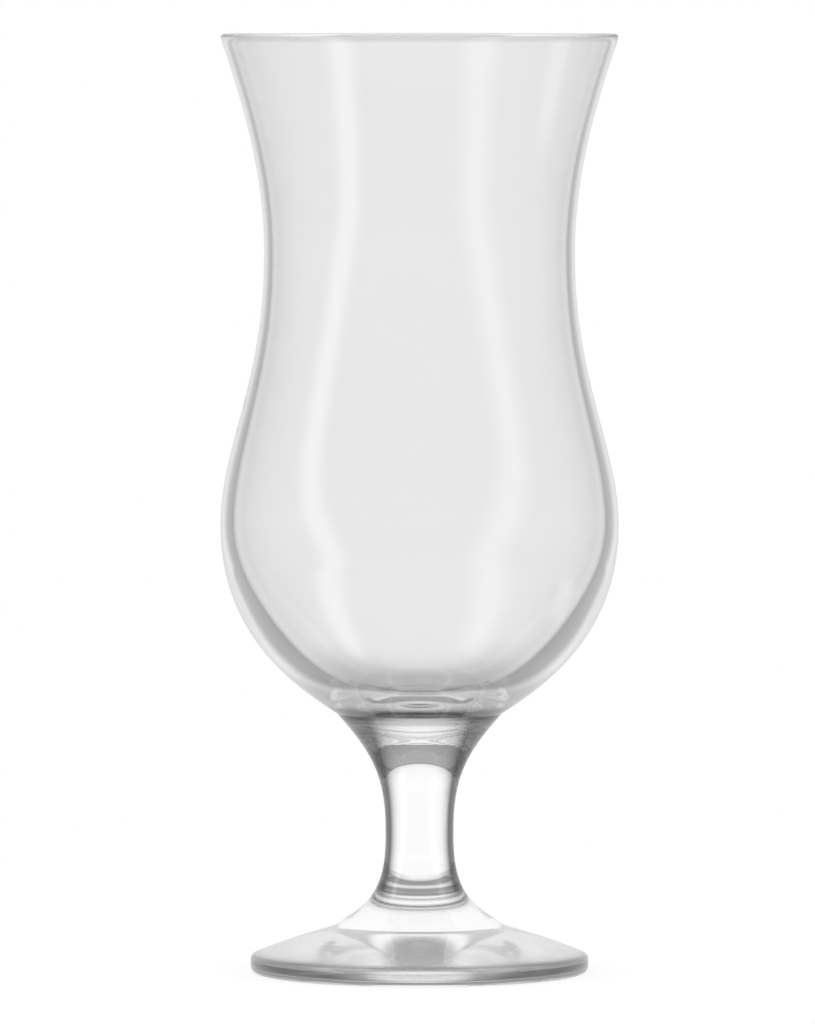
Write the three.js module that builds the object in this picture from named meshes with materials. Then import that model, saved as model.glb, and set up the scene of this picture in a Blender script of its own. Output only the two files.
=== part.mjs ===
// Hurricane cocktail glass: an hourglass bowl on a short solid stem and a round foot.
// Millimetres, +Z up, origin on the table at the centre of the foot.
// Each piece is a solid of revolution, and the pieces meet on two flat fused joints.
import * as THREE from "three";

// Heights, stacked up the axis from the table
const FOOT_HEIGHT = 11.4; // table to the joint of foot and stem
const NECK_RISE = 18.0; // that joint to the narrowest point of the stem
const STEM_RISE = 24.6; // narrowest point of the stem to the joint of stem and bowl
const BELLY_RISE = 38.8; // that joint to the widest point of the bowl
const WAIST_RISE = 56.2; // widest point to the narrowest point of the bowl
const RIM_RISE = 46.0; // narrowest point of the bowl to the top of the lip

// Outside diameters
const RIM_DIAMETER = 82.6;
const WAIST_DIAMETER = 64.4;
const BELLY_DIAMETER = 83.0;
const BOWL_JOINT_DIAMETER = 34.4;
const NECK_DIAMETER = 14.1;
const FOOT_JOINT_DIAMETER = 30.6;
const FOOT_DIAMETER = 70.4;

// Glass thickness of the bowl
const RIM_WALL = 1.4;
const WAIST_WALL = 1.6;
const BELLY_WALL = 2.6;
const FLOOR_THICKNESS = 3.8; // bowl floor above the joint with the stem
const FLOOR_DIAMETER = 18.0; // flat part of the bowl floor

// Foot
const CREASE_DIAMETER = 37.2; // where the flare under the stem runs out into the crowned top
const CREASE_HEIGHT = 9.4;
const SIDE_RISE = 2.8; // table to the top of the upright side
const UPPER_EDGE_RADIUS = 1.3;
const LOWER_EDGE_RADIUS = 1.4;
const STANDING_RING_WIDTH = 5.0; // flat ring that the glass stands on
const HOLLOW_DEPTH = 0.4; // hollow inside the standing ring

// Slopes of the outer surface from the horizontal, in degrees
const RIM_SLOPE = 71;
const BOWL_JOINT_SLOPE = 32;
const STEM_TOP_SLOPE = 48;
const STEM_BOTTOM_SLOPE = 29;
const FLARE_SLOPE = 38;
const CREASE_SLOPE = 16;
const EDGE_SLOPE = 22;

// How far each curve keeps its end direction, as a share of the stretch that it spans
const BELLY_FULLNESS_BELOW = 0.55;
const BELLY_FULLNESS_ABOVE = 0.29;
const WAIST_FULLNESS_BELOW = 0.47;
const WAIST_FULLNESS_ABOVE = 0.35;
const RIM_FULLNESS = 0.35;
const BOWL_JOINT_FULLNESS = 0.32;
const FLOOR_FULLNESS = 0.29;
const STEM_FULLNESS = 0.46;
const FLARE_FULLNESS = 0.45;
const CROWN_FULLNESS = 0.33;

// Facets
const SIDES = 56;
const CURVE_STEPS = 10;
const FLARE_STEPS = 5;
const EDGE_STEPS = 4; // on each rounded edge of the foot
const HOLLOW_STEPS = 4;
const LIP_STEPS = 3; // on each side of its top
const SAME_POINT = 1e-6;

// Fixed angles, in degrees
const HALF_TURN = THREE.MathUtils.radToDeg(Math.PI);
const UPRIGHT = HALF_TURN / 2;

// Stations on the axis
const footTop = FOOT_HEIGHT;
const neck = footTop + NECK_RISE;
const stemTop = neck + STEM_RISE;
const belly = stemTop + BELLY_RISE;
const waist = belly + WAIST_RISE;
const rim = waist + RIM_RISE;

const point = (radius, height) => new THREE.Vector2(radius, height);

// The slope of a surface that falls outwards, followed from its outer end to its inner end.
const inward = (slope) => HALF_TURN - slope;

// A step of the given length along a slope, in the plane of radius and height.
function along(slope, length) {
  const angle = THREE.MathUtils.degToRad(slope);
  return point(Math.cos(angle), Math.sin(angle)).multiplyScalar(length);
}

// Points of a smooth curve that leaves start on one slope and reaches end on another.
function sweep(start, startSlope, startReach, end, endSlope, endReach, steps = CURVE_STEPS) {
  const leave = start.clone().add(along(startSlope, startReach));
  const arrive = end.clone().sub(along(endSlope, endReach));
  return new THREE.CubicBezierCurve(start, leave, arrive, end).getPoints(steps);
}

// Points of a circular arc, with its angles in degrees from the outward direction.
function arc(centre, radius, from, to, steps) {
  const turn = THREE.MathUtils.degToRad;
  const curve = new THREE.EllipseCurve(centre.x, centre.y, radius, radius, turn(from), turn(to), to < from);
  return curve.getPoints(steps);
}

// Joins stretches into one profile and turns it round the axis, which becomes +Z.
function revolve(...stretches) {
  const profile = stretches.flat();
  const apart = (p, i) => i === 0 || p.distanceTo(profile[i - 1]) > SAME_POINT;
  return new THREE.LatheGeometry(profile.filter(apart), SIDES).rotateX(Math.PI / 2);
}

function bowl() {
  const lipRadius = RIM_WALL / 2;
  const lipCentre = point(RIM_DIAMETER / 2 - lipRadius, rim - lipRadius);
  const acrossLip = along(RIM_SLOPE - UPRIGHT, lipRadius);
  const lipOutside = lipCentre.clone().add(acrossLip);
  const lipInside = lipCentre.clone().sub(acrossLip);
  const waistOutside = point(WAIST_DIAMETER / 2, waist);
  const waistInside = point(WAIST_DIAMETER / 2 - WAIST_WALL, waist);
  const bellyOutside = point(BELLY_DIAMETER / 2, belly);
  const bellyInside = point(BELLY_DIAMETER / 2 - BELLY_WALL, belly);
  const jointEdge = point(BOWL_JOINT_DIAMETER / 2, stemTop);
  const floor = stemTop + FLOOR_THICKNESS;
  const floorEdge = point(FLOOR_DIAMETER / 2, floor);
  const floorRise = belly - floor;

  const bellyReach = WAIST_RISE * BELLY_FULLNESS_ABOVE;
  const waistReachBelow = WAIST_RISE * WAIST_FULLNESS_BELOW;
  const waistReachAbove = RIM_RISE * WAIST_FULLNESS_ABOVE;
  const rimReach = RIM_RISE * RIM_FULLNESS;

  const underside = sweep(
    jointEdge, BOWL_JOINT_SLOPE, BELLY_RISE * BOWL_JOINT_FULLNESS,
    bellyOutside, UPRIGHT, BELLY_RISE * BELLY_FULLNESS_BELOW,
  );
  const inside = sweep(
    floorEdge, 0, floorRise * FLOOR_FULLNESS,
    bellyInside, UPRIGHT, floorRise * BELLY_FULLNESS_BELOW,
  );
  const shoulder = (from, to) => sweep(from, UPRIGHT, bellyReach, to, UPRIGHT, waistReachBelow);
  const flare = (from, to) => sweep(from, UPRIGHT, waistReachAbove, to, RIM_SLOPE, rimReach);

  return revolve(
    [point(0, stemTop)],
    underside,
    shoulder(bellyOutside, waistOutside),
    flare(waistOutside, lipOutside),
    arc(lipCentre, lipRadius, RIM_SLOPE - UPRIGHT, UPRIGHT, LIP_STEPS),
    arc(lipCentre, lipRadius, UPRIGHT, RIM_SLOPE + UPRIGHT, LIP_STEPS),
    flare(waistInside, lipInside).reverse(),
    shoulder(bellyInside, waistInside).reverse(),
    inside.reverse(),
    [point(0, floor)],
  );
}

function stem() {
  const bottomEdge = point(FOOT_JOINT_DIAMETER / 2, footTop);
  const neckSide = point(NECK_DIAMETER / 2, neck);
  const topEdge = point(BOWL_JOINT_DIAMETER / 2, stemTop);
  return revolve(
    [point(0, footTop)],
    sweep(
      bottomEdge, inward(STEM_BOTTOM_SLOPE), NECK_RISE * STEM_FULLNESS,
      neckSide, UPRIGHT, NECK_RISE * STEM_FULLNESS,
    ),
    sweep(
      neckSide, UPRIGHT, STEM_RISE * STEM_FULLNESS,
      topEdge, STEM_TOP_SLOPE, STEM_RISE * STEM_FULLNESS,
    ),
    [point(0, stemTop)],
  );
}

function foot() {
  const jointEdge = point(FOOT_JOINT_DIAMETER / 2, footTop);
  const crease = point(CREASE_DIAMETER / 2, CREASE_HEIGHT);
  const upperCentre = point(FOOT_DIAMETER / 2 - UPPER_EDGE_RADIUS, SIDE_RISE);
  const lowerCentre = point(FOOT_DIAMETER / 2 - LOWER_EDGE_RADIUS, LOWER_EDGE_RADIUS);
  const edgeTop = upperCentre.clone().add(along(UPRIGHT - EDGE_SLOPE, UPPER_EDGE_RADIUS));
  const ringInside = point(lowerCentre.x - STANDING_RING_WIDTH, 0);
  const flareReach = crease.distanceTo(jointEdge) * FLARE_FULLNESS;
  const crownReach = edgeTop.distanceTo(crease) * CROWN_FULLNESS;

  // The hollow is a shallow cap of a sphere that meets the standing ring at its inner edge.
  const capRadius = (ringInside.x ** 2 + HOLLOW_DEPTH ** 2) / (2 * HOLLOW_DEPTH);
  const capCentre = point(0, HOLLOW_DEPTH - capRadius);
  const capSpan = THREE.MathUtils.radToDeg(Math.asin(ringInside.x / capRadius));

  return revolve(
    arc(capCentre, capRadius, UPRIGHT, UPRIGHT - capSpan, HOLLOW_STEPS),
    arc(lowerCentre, LOWER_EDGE_RADIUS, -UPRIGHT, 0, EDGE_STEPS),
    arc(upperCentre, UPPER_EDGE_RADIUS, 0, UPRIGHT - EDGE_SLOPE, EDGE_STEPS),
    sweep(edgeTop, inward(EDGE_SLOPE), crownReach, crease, inward(CREASE_SLOPE), crownReach),
    sweep(
      crease, inward(CREASE_SLOPE), flareReach,
      jointEdge, inward(FLARE_SLOPE), flareReach, FLARE_STEPS,
    ),
    [point(0, footTop)],
  );
}

// Clear soda-lime glass; each piece has a material of its own.
function clearGlass() {
  return new THREE.MeshStandardMaterial({
    color: 0xe9eded,
    roughness: 0.03,
    metalness: 0,
    transparent: true,
    opacity: 0.35,
  });
}

const glass = new THREE.Group();
for (const [name, geometry] of Object.entries({ bowl: bowl(), stem: stem(), foot: foot() })) {
  const mesh = new THREE.Mesh(geometry, clearGlass());
  mesh.name = name;
  glass.add(mesh);
}

export default glass;
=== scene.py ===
import math
from collections import namedtuple

import bmesh
import bpy
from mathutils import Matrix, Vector


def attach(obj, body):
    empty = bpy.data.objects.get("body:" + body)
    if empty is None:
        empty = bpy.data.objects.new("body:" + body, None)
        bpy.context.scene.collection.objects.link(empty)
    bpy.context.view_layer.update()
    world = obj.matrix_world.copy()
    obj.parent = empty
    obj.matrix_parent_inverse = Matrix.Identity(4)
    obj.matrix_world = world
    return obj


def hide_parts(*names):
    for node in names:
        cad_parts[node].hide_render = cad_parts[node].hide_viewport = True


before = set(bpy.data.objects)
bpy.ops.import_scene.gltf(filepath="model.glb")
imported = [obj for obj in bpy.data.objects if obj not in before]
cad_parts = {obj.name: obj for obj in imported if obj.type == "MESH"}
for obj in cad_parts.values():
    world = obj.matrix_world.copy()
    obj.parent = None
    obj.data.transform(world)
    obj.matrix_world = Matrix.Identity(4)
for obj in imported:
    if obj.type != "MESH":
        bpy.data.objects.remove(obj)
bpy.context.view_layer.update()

# Surface
SEGMENTS = 64  # round the axis, before smoothing
SMOOTHING = 2  # levels of subdivision
SAME_POINT = 1e-6

# Soda-lime glass, in zones up the axis. The colour of a surface is the share of light that it lets through.
# Where a surface is seen edge on its colour is darkened: painted shade standing for the dark edges of glass,
# stronger in the solid stem and foot than in the thin wall.
#   above, blend: the height where a zone begins, and how softly
#   start, end: how edge on a surface is where the painted shade begins and ends, from 0 (face on) to 1
#   clear, edge: the share of light that it lets through before and after the painted shade
#   polish: roughness
POLISH = 0.004  # of a fire-polished surface
Zone = namedtuple("Zone", "above blend start end clear edge polish", defaults=[POLISH])
BELOW_ALL = -1.0
STANDING = Zone(above=BELOW_ALL, blend=0.001, start=0.85, end=1.00, clear=1.0, edge=0.80)
# Painted shade: the side of the foot darkens from almost face on, leaving a bright patch in the middle that
# follows the viewer.
SIDE = Zone(above=0.0007, blend=0.0004, start=0.015, end=0.070, clear=1.0, edge=0.28)
CROWN = Zone(above=0.0042, blend=0.0008, start=0.85, end=1.00, clear=1.0, edge=0.80)
# Painted shade: the sides of the stem turn almost black where they are seen edge on.
NECK = Zone(above=0.0155, blend=0.005, start=0.16, end=0.49, clear=1.0, edge=0.02)
BASE = Zone(above=0.0560, blend=0.002, start=0.30, end=0.60, clear=0.95, edge=0.30, polish=0.05)
WALL = Zone(above=0.0620, blend=0.008, start=0.80, end=1.00, clear=0.94, edge=0.30)
# Painted shade: the whole lip is dimmed, a grey line along the rim.
LIP = Zone(above=0.1936, blend=0.001, start=0.80, end=1.00, clear=0.78, edge=0.70, polish=0.03)
ZONES = (STANDING, SIDE, CROWN, NECK, BASE, WALL, LIP)  # from the table up
IOR = 1.52
SCUFF = 0.35  # roughness of the standing ring, worn by tables
SCUFF_HEIGHT = 0.0006
SCUFF_GRAIN = 0.0008
WAVE_LENGTH = 0.018  # slow ripple left by hot working
WAVE_HEIGHT = 0.000004

# Camera
CAMERA_DISTANCE = 2.2
CAMERA_HEIGHT = 0.205
AIM = Vector((-0.0025, 0.0, 0.0958))
VIEW_HEIGHT = 0.2125  # what the long side of the picture spans at the glass
SENSOR = 36.0

# Studio: rooms with panels in them. Azimuths run from straight behind the glass, + to the right.
# A slanted panel leans by so many degrees of azimuth for each degree of elevation.
Panel = namedtuple("Panel", "azimuth elevation radiance blur slant", defaults=[0.0])
Room = namedtuple("Room", "radiance ring beside panels")  # ring, beside: the table near the glass
WHITE = (1.0, 1.0, 1.0, 1.0)
WHITE_LIGHT = 1.0  # radiance that shows as white
ALL_ROUND = (-400, 400)  # more than a turn, so that the panel has no edge
DOWN = -200  # past straight down, so that there is no edge there
UP = 200
BEHIND = (-40, 40)
LEAN_FROM = -12  # panels lean above this elevation

# The gloss of the glass shows a pale room with strip lights in front.
GLOSS_ROOM = Room(radiance=0.82, ring=0.82, beside=0.82, panels=(
    Panel(azimuth=(-128, -112), elevation=(-60, 50), radiance=2.8, blur=14, slant=-0.6),
    Panel(azimuth=(122, 142), elevation=(-60, 50), radiance=2.4, blur=20, slant=0.6),
    Panel(azimuth=(76, 90), elevation=(-34, -18), radiance=1.8, blur=8),
))
# A straight look through the glass shows white. Light that has bounced inside it once, twice or more often
# comes from a dimmer studio with a lit backdrop and ceiling.
ONCE_ROOM = Room(radiance=0.20, ring=0.75, beside=0.30, panels=(
    Panel(azimuth=ALL_ROUND, elevation=(DOWN, 3), radiance=0.30, blur=8),
    Panel(azimuth=ALL_ROUND, elevation=(33, UP), radiance=0.42, blur=5),
    Panel(azimuth=(-18, 18), elevation=(DOWN, 5), radiance=1.0, blur=20),
    Panel(azimuth=BEHIND, elevation=(5, 22), radiance=0.50, blur=8),
    Panel(azimuth=BEHIND, elevation=(22, 33), radiance=1.0, blur=8),
))
TWICE_ROOM = Room(radiance=0.45, ring=1.0, beside=1.0, panels=(
    Panel(azimuth=BEHIND, elevation=(-12, 14), radiance=1.0, blur=8),
))
MORE_ROOM = Room(radiance=1.2, ring=0.80, beside=0.80, panels=(
    Panel(azimuth=ALL_ROUND, elevation=(DOWN, 30), radiance=0.80, blur=8),
    Panel(azimuth=ALL_ROUND, elevation=(63, 69), radiance=0.30, blur=3),
))
ROOMS = (GLOSS_ROOM, ONCE_ROOM, TWICE_ROOM, MORE_ROOM)
HALF = 0.5  # tells one whole number of bounces from the next

# Table
# Painted light and shade on the table near the glass: a bright ring under the foot for the light it gathers,
# and the part beside the foot for the rest.
RING = (0.011, 0.016)  # radii of the ring where the foot gathers light
RING_BLUR = 0.003
BESIDE = 0.045  # distance from the axis that counts as beside the glass
BESIDE_BLUR = 0.030
TABLE_DEPTH = 0.09  # how far below the middle of the bowl it is
TABLE_RADIUS = 0.30
TABLE_SEGMENTS = 96
TABLE_COLOUR = (0.20, 0.20, 0.20, 1.0)  # what the shadow of the glass takes from
TABLE_GLOW = 0.84

BOUNCES = 512


def turned_outline(node):
    """(radius, height) pairs along a turned node's profile, from its lower to its upper end on the axis."""
    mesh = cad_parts[node].data
    rings = []

    def ring_of(vertex):
        spot = (math.hypot(vertex.co.x, vertex.co.y), vertex.co.z)
        for index, ring in enumerate(rings):
            if math.dist(ring, spot) < SAME_POINT:
                return index
        rings.append(spot)
        return len(rings) - 1

    at = [ring_of(vertex) for vertex in mesh.vertices]
    neighbours = [set() for _ in rings]
    for edge in mesh.edges:
        a, b = (at[i] for i in edge.vertices)
        if a != b:
            neighbours[a].add(b)
            neighbours[b].add(a)
    ends = [i for i, near in enumerate(neighbours) if len(near) == 1]
    walk = [min(ends, key=lambda i: rings[i][1])]
    while True:
        onward = neighbours[walk[-1]] - set(walk)
        if not onward:
            break
        walk.append(onward.pop())
    return [rings[i] for i in walk]


def turned_mesh(name, outline, joint_below, joint_above):
    """A closed mesh of quads round the axis. A joint is a flat disc at that end, with a sharp rim."""
    mesh = bpy.data.meshes.new(name)
    work = bmesh.new()
    turns = [2 * math.pi * k / SEGMENTS for k in range(SEGMENTS)]
    profile = [(r, z) for r, z in outline if r > SAME_POINT]
    rings = [[work.verts.new((r * math.cos(t), r * math.sin(t), z)) for t in turns] for r, z in profile]
    poles = [work.verts.new((0, 0, outline[i][1])) for i in (0, -1)]
    for lower, upper in zip(rings, rings[1:]):
        for k in range(SEGMENTS):
            work.faces.new((lower[k - 1], lower[k], upper[k], upper[k - 1]))
    crease = work.edges.layers.float.new("crease_edge")
    for pole, ring, is_joint in ((poles[0], rings[0], joint_below), (poles[1], rings[-1], joint_above)):
        for k in range(SEGMENTS):
            face = work.faces.new((ring[k - 1], ring[k], pole))
            face.material_index = int(is_joint)
            rim = work.edges.get((ring[k - 1], ring[k]))
            rim[crease] = float(is_joint)
            rim.smooth = not is_joint
    bmesh.ops.recalc_face_normals(work, faces=work.faces)
    for face in work.faces:
        face.smooth = True
    work.to_mesh(mesh)
    work.free()
    return mesh


def glass_piece(node, joint_below, joint_above, materials):
    """A smooth glass piece that stands for a turned node. The second material is for its joints."""
    name = "glass_" + node
    piece = bpy.data.objects.new(name, turned_mesh(name, turned_outline(node), joint_below, joint_above))
    bpy.context.scene.collection.objects.link(piece)
    for material in materials:
        piece.data.materials.append(material)
    smooth = piece.modifiers.new("smooth", "SUBSURF")
    smooth.levels = smooth.render_levels = SMOOTHING
    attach(piece, "root")
    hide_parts(node)


class Tree:
    """The node tree of a material or world, while it is built."""

    def __init__(self, owner):
        owner.use_nodes = True
        self.tree = owner.node_tree
        self.tree.nodes.clear()

    def add(self, kind, **inputs):
        """A new node, with its inputs set or linked by name."""
        node = self.tree.nodes.new("ShaderNode" + kind)
        for name, value in inputs.items():
            self.set(node.inputs[name.replace("_", " ")], value)
        return node

    def set(self, socket, value):
        """Links a socket to another one, or gives it a value."""
        if isinstance(value, bpy.types.NodeSocket):
            self.tree.links.new(value, socket)
        else:
            socket.default_value = value

    def math(self, operation, *values):
        node = self.add("Math")
        node.operation = operation
        for socket, value in zip(node.inputs, values):
            self.set(socket, value)
        return node.outputs["Value"]

    def rise(self, value, middle, width):
        """0 below and 1 above a soft step."""
        step = self.add("MapRange", Value=value, From_Min=middle - width / 2, From_Max=middle + width / 2)
        step.interpolation_type = "SMOOTHSTEP"
        return step.outputs["Result"]

    def within(self, value, limits, blur):
        """1 between two limits, with soft edges."""
        low, high = (self.rise(value, limit, blur) for limit in limits)
        return self.math("SUBTRACT", low, high)

    def mix(self, share, a, b):
        """a where share is 0, b where it is 1."""
        return self.math("MULTIPLY_ADD", share, self.math("SUBTRACT", b, a), a)

    def parts(self, vector):
        """The x, y and z of a vector."""
        split = self.add("SeparateXYZ", Vector=vector)
        return [split.outputs[axis] for axis in "XYZ"]

    def bearing(self, x, y):
        """Degrees from straight behind the glass, + to the right."""
        return self.math("DEGREES", self.math("ARCTAN2", x, y))

    def surface(self, kind, shader):
        self.set(self.add("Output" + kind).inputs["Surface"], shader.outputs[0])


def edge_shaded_share(tree, facing, zone):
    """The share of light that a zone lets through, darkened by painted shade where the surface is seen edge
    on.
    """
    painted_edge_shade = tree.rise(facing, (zone.start + zone.end) / 2, zone.end - zone.start)
    return tree.mix(painted_edge_shade, zone.clear, zone.edge)


def clear_glass():
    """Fire-polished glass, worn where it stands, with painted shade where it is seen edge on."""
    material = bpy.data.materials.new("clear glass")
    tree = Tree(material)
    place = tree.add("TexCoord").outputs["Object"]
    height = tree.parts(place)[2]
    worn = tree.math("SUBTRACT", 1.0, tree.rise(height, SCUFF_HEIGHT / 2, SCUFF_HEIGHT))
    grain = tree.add("TexNoise", Vector=place, Scale=1 / SCUFF_GRAIN).outputs["Fac"]
    wave = tree.add("TexNoise", Vector=place, Scale=1 / WAVE_LENGTH).outputs["Fac"]
    bump = tree.add("Bump", Height=wave, Distance=WAVE_HEIGHT)
    facing = tree.add("LayerWeight").outputs["Facing"]
    share, polish = STANDING.clear, STANDING.polish
    for zone in ZONES:
        inside = tree.rise(height, zone.above, zone.blend)
        share = tree.mix(inside, share, edge_shaded_share(tree, facing, zone))
        polish = tree.mix(inside, polish, zone.polish)
    glass = tree.add(
        "BsdfPrincipled",
        Base_Color=share,
        IOR=IOR,
        Transmission_Weight=1.0,
        Roughness=tree.mix(tree.math("MULTIPLY", worn, grain), polish, SCUFF),
        Normal=bump.outputs["Normal"],
    )
    tree.surface("Material", glass)
    return material


def fused_joint():
    """Glass melted to glass has no surface, so light goes straight through the joint."""
    material = bpy.data.materials.new("fused joint")
    tree = Tree(material)
    tree.surface("Material", tree.add("BsdfPrincipled", Alpha=0.0))
    return material


def lit(tree, room, azimuth, elevation):
    """Radiance of a room in a direction."""
    radiance = room.radiance
    for panel in room.panels:
        lean = tree.math("MAXIMUM", elevation, LEAN_FROM)
        leaning = tree.math("MULTIPLY_ADD", lean, panel.slant, azimuth)
        across = tree.within(leaning, panel.azimuth, panel.blur)
        upright = tree.within(elevation, panel.elevation, panel.blur)
        radiance = tree.mix(tree.math("MULTIPLY", across, upright), radiance, panel.radiance)
    return radiance


def by_path(tree, gloss, *bounced):
    """What a ray shows, by its way through the glass.

    Gloss is for a ray that stays outside. A straight look through the glass shows white, and after that comes
    one light for each number of bounces inside it.
    """
    path = tree.add("LightPath").outputs
    inside = WHITE_LIGHT
    for bounces, light in enumerate(bounced, 1):
        enough = tree.math("GREATER_THAN", path["Glossy Depth"], bounces - HALF)
        inside = tree.mix(enough, inside, light)
    return tree.mix(tree.math("GREATER_THAN", path["Transmission Depth"], HALF), gloss, inside)


def studio():
    """The surroundings of the table, white to the camera."""
    world = bpy.data.worlds.new("studio")
    bpy.context.scene.world = world
    tree = Tree(world)
    x, y, z = tree.parts(tree.add("TexCoord").outputs["Generated"])
    azimuth = tree.bearing(x, y)
    elevation = tree.math("DEGREES", tree.math("ARCSINE", z))
    light = by_path(tree, *(lit(tree, room, azimuth, elevation) for room in ROOMS))
    light = tree.mix(tree.add("LightPath").outputs["Is Camera Ray"], light, WHITE_LIGHT)
    tree.surface("World", tree.add("Background", Color=WHITE, Strength=light))


def table_light(tree):
    """What the glass shows of the table: each room goes on in it, apart from the part near the glass, where
    painted light and shade stand for what the foot gathers and casts.
    """
    place = tree.add("NewGeometry").outputs["Position"]
    x, y, _ = tree.parts(place)
    distance = tree.add("VectorMath", Vector=place)
    distance.operation = "LENGTH"
    away = distance.outputs["Value"]
    depression = tree.math("DEGREES", tree.math("ARCTAN2", -TABLE_DEPTH, away))
    in_ring = tree.within(away, RING, RING_BLUR)
    far_off = tree.rise(away, BESIDE, BESIDE_BLUR)
    lights = []
    for room in ROOMS:
        near = tree.mix(in_ring, room.beside, room.ring)
        far = lit(tree, room, tree.bearing(x, y), depression)
        lights.append(tree.mix(far_off, near, far))
    return by_path(tree, *lights)


def white_table():
    """A matt surface that is white to the camera, with the shadow of the glass on it."""
    material = bpy.data.materials.new("white table")
    tree = Tree(material)
    shadowed = tree.add("AddShader")
    tree.set(shadowed.inputs[0], tree.add("BsdfDiffuse", Color=TABLE_COLOUR).outputs["BSDF"])
    tree.set(shadowed.inputs[1], tree.add("Emission", Color=WHITE, Strength=TABLE_GLOW).outputs["Emission"])
    to_glass = tree.add("Emission", Color=WHITE, Strength=table_light(tree))
    table_top = tree.add("MixShader", Fac=tree.add("LightPath").outputs["Is Camera Ray"])
    tree.set(table_top.inputs[1], to_glass.outputs["Emission"])
    tree.set(table_top.inputs[2], shadowed.outputs["Shader"])
    tree.surface("Material", table_top)
    return material


def table():
    """A round table top."""
    work = bmesh.new()
    bmesh.ops.create_circle(work, cap_ends=True, segments=TABLE_SEGMENTS, radius=TABLE_RADIUS)
    mesh = bpy.data.meshes.new("table")
    work.to_mesh(mesh)
    work.free()
    mesh.materials.append(white_table())
    top = bpy.data.objects.new("table", mesh)
    bpy.context.scene.collection.objects.link(top)


def camera():
    """A long lens in front of the glass, just above its lip."""
    data = bpy.data.cameras.new("camera")
    data.sensor_width = SENSOR
    place = Vector((AIM.x, AIM.y - CAMERA_DISTANCE, CAMERA_HEIGHT))
    data.lens = SENSOR * (AIM - place).length / VIEW_HEIGHT
    eye = bpy.data.objects.new("camera", data)
    eye.location = place
    eye.rotation_euler = (AIM - place).to_track_quat("-Z", "Y").to_euler()
    bpy.context.scene.collection.objects.link(eye)
    bpy.context.scene.camera = eye


def light_paths():
    """Enough bounces for light that runs round inside the lip to come out again."""
    cycles = bpy.context.scene.cycles
    cycles.max_bounces = BOUNCES
    cycles.transmission_bounces = BOUNCES
    cycles.glossy_bounces = BOUNCES
    cycles.transparent_max_bounces = BOUNCES


glass_materials = (clear_glass(), fused_joint())
glass_piece("bowl", True, False, glass_materials)
glass_piece("stem", True, True, glass_materials)
glass_piece("foot", False, True, glass_materials)
studio()
table()
camera()
light_paths()
bpy.context.scene.view_settings.view_transform = "Standard"
